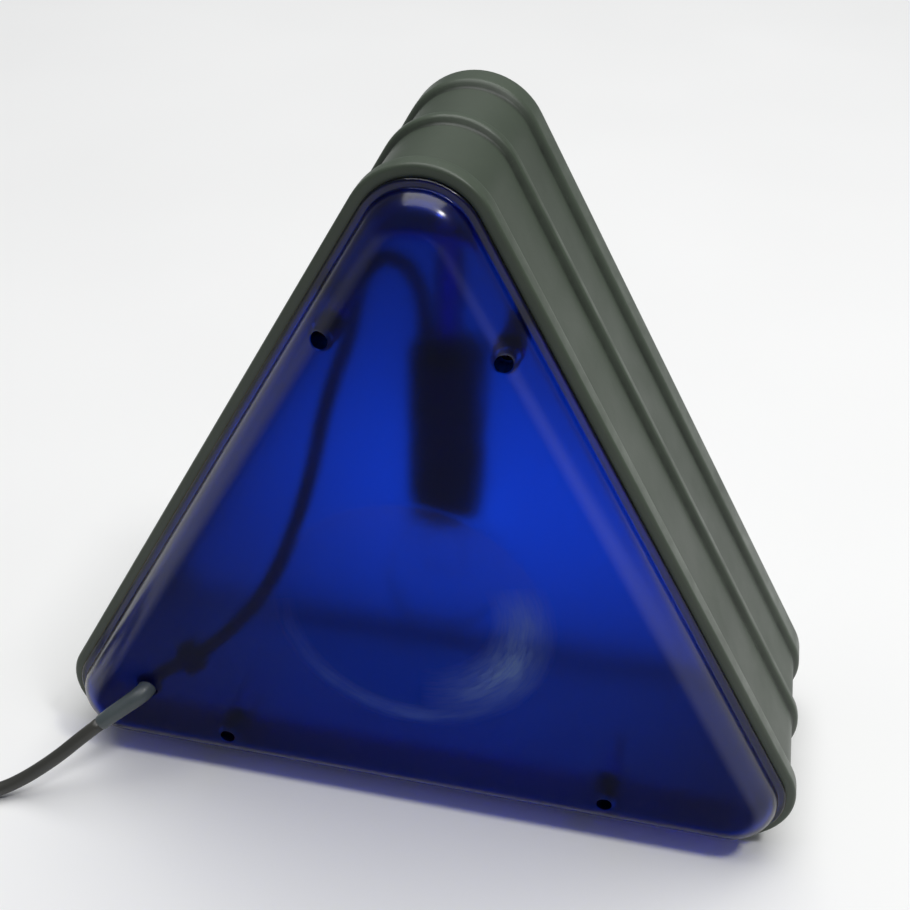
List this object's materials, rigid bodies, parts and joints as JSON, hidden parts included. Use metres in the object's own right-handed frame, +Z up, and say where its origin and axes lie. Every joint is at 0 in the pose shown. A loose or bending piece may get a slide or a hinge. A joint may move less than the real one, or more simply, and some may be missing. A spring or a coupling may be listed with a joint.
{
  "type": "table lamp",
  "caption": "Upright triangular table lamp: ribbed ring housing, deep blue tray cover, opal panel, hung screw-base bulb, mains cord with in-line rocker switch and flat plug.",
  "frame": {"origin": "on the table, under the middle of the lamp without its cord", "axes": "+X across the lamp, +Y from the blue cover towards the opal panel, +Z up"},
  "size_m": [0.4788, 0.159, 0.2494],
  "materials": {
    "housing_plastic": "satin moulded plastic, dark grey-green",
    "blue_acrylic": "clear deep blue plastic, glossy",
    "opal_acrylic": "opal white plastic, satin gloss",
    "black_plastic": "black moulded plastic",
    "holder_plastic": "black thermoset",
    "cord_pvc": "dark grey PVC sheath",
    "black_rubber": "soft black rubber",
    "zinc_steel": "zinc-plated steel",
    "black_steel": "blackened steel",
    "brass": "plain brass",
    "nickel": "nickel-plated brass",
    "ceramic": "glazed white ceramic",
    "clear_glass": "clear blown glass",
    "tungsten": "drawn wire",
    "white_plastic": "white moulded plastic"
  },
  "bodies": {
    "lamp": {"housing": "housing_plastic", "opal_panel": "opal_acrylic", "panel_bezel": "housing_plastic", "blue_cover": "blue_acrylic", "cover_screws": "black_steel", "foot_pads": "black_rubber", "apex_bracket": "zinc_steel", "bracket_screws": "zinc_steel", "hanging_tube": "brass", "tube_nuts": "zinc_steel", "holder_cap": "holder_plastic", "holder_skirt": "holder_plastic", "holder_insert": "ceramic", "holder_shell": "brass", "holder_contact": "brass", "terminal_screws": "zinc_steel", "bulb_glass": "clear_glass", "bulb_cap": "nickel", "bulb_insulator": "holder_plastic", "bulb_contact": "nickel", "bulb_stem": "clear_glass", "bulb_filament": "tungsten", "inner_cord": "cord_pvc", "cord_stop": "black_plastic", "cord_grommet": "black_rubber", "lead_near": "cord_pvc", "lead_far": "cord_pvc", "cord_coil": "cord_pvc", "coil_end": "cord_pvc", "coil_tie": "white_plastic", "switch_base": "black_plastic", "switch_top": "black_plastic", "switch_screws": "zinc_steel", "switch_pin": "zinc_steel", "switch_contacts": "brass", "plug_body": "black_plastic", "plug_pins": "nickel"},
    "rocker": {"switch_rocker": "black_plastic", "switch_plunger": "white_plastic", "switch_spring": "zinc_steel"},
    "contact_lever": {"switch_lever": "brass"}
  },
  "joints": [
    {"name": "rocker_tilt", "type": "hinge", "parent": "lamp", "child": "rocker", "pos_m": [-0.233, -0.098, 0.013], "axis": [0, -1, 0], "range_deg": [0, 18]},
    {"name": "lever_tilt", "type": "hinge", "parent": "lamp", "child": "contact_lever", "pos_m": [-0.233, -0.098, 0.005], "axis": [0, 1, 0], "range_deg": [0, 12]}
  ],
  "couplings": [
    {"joint": "lever_tilt", "follows": "rocker_tilt", "ratio": 0.6666}
  ]
}
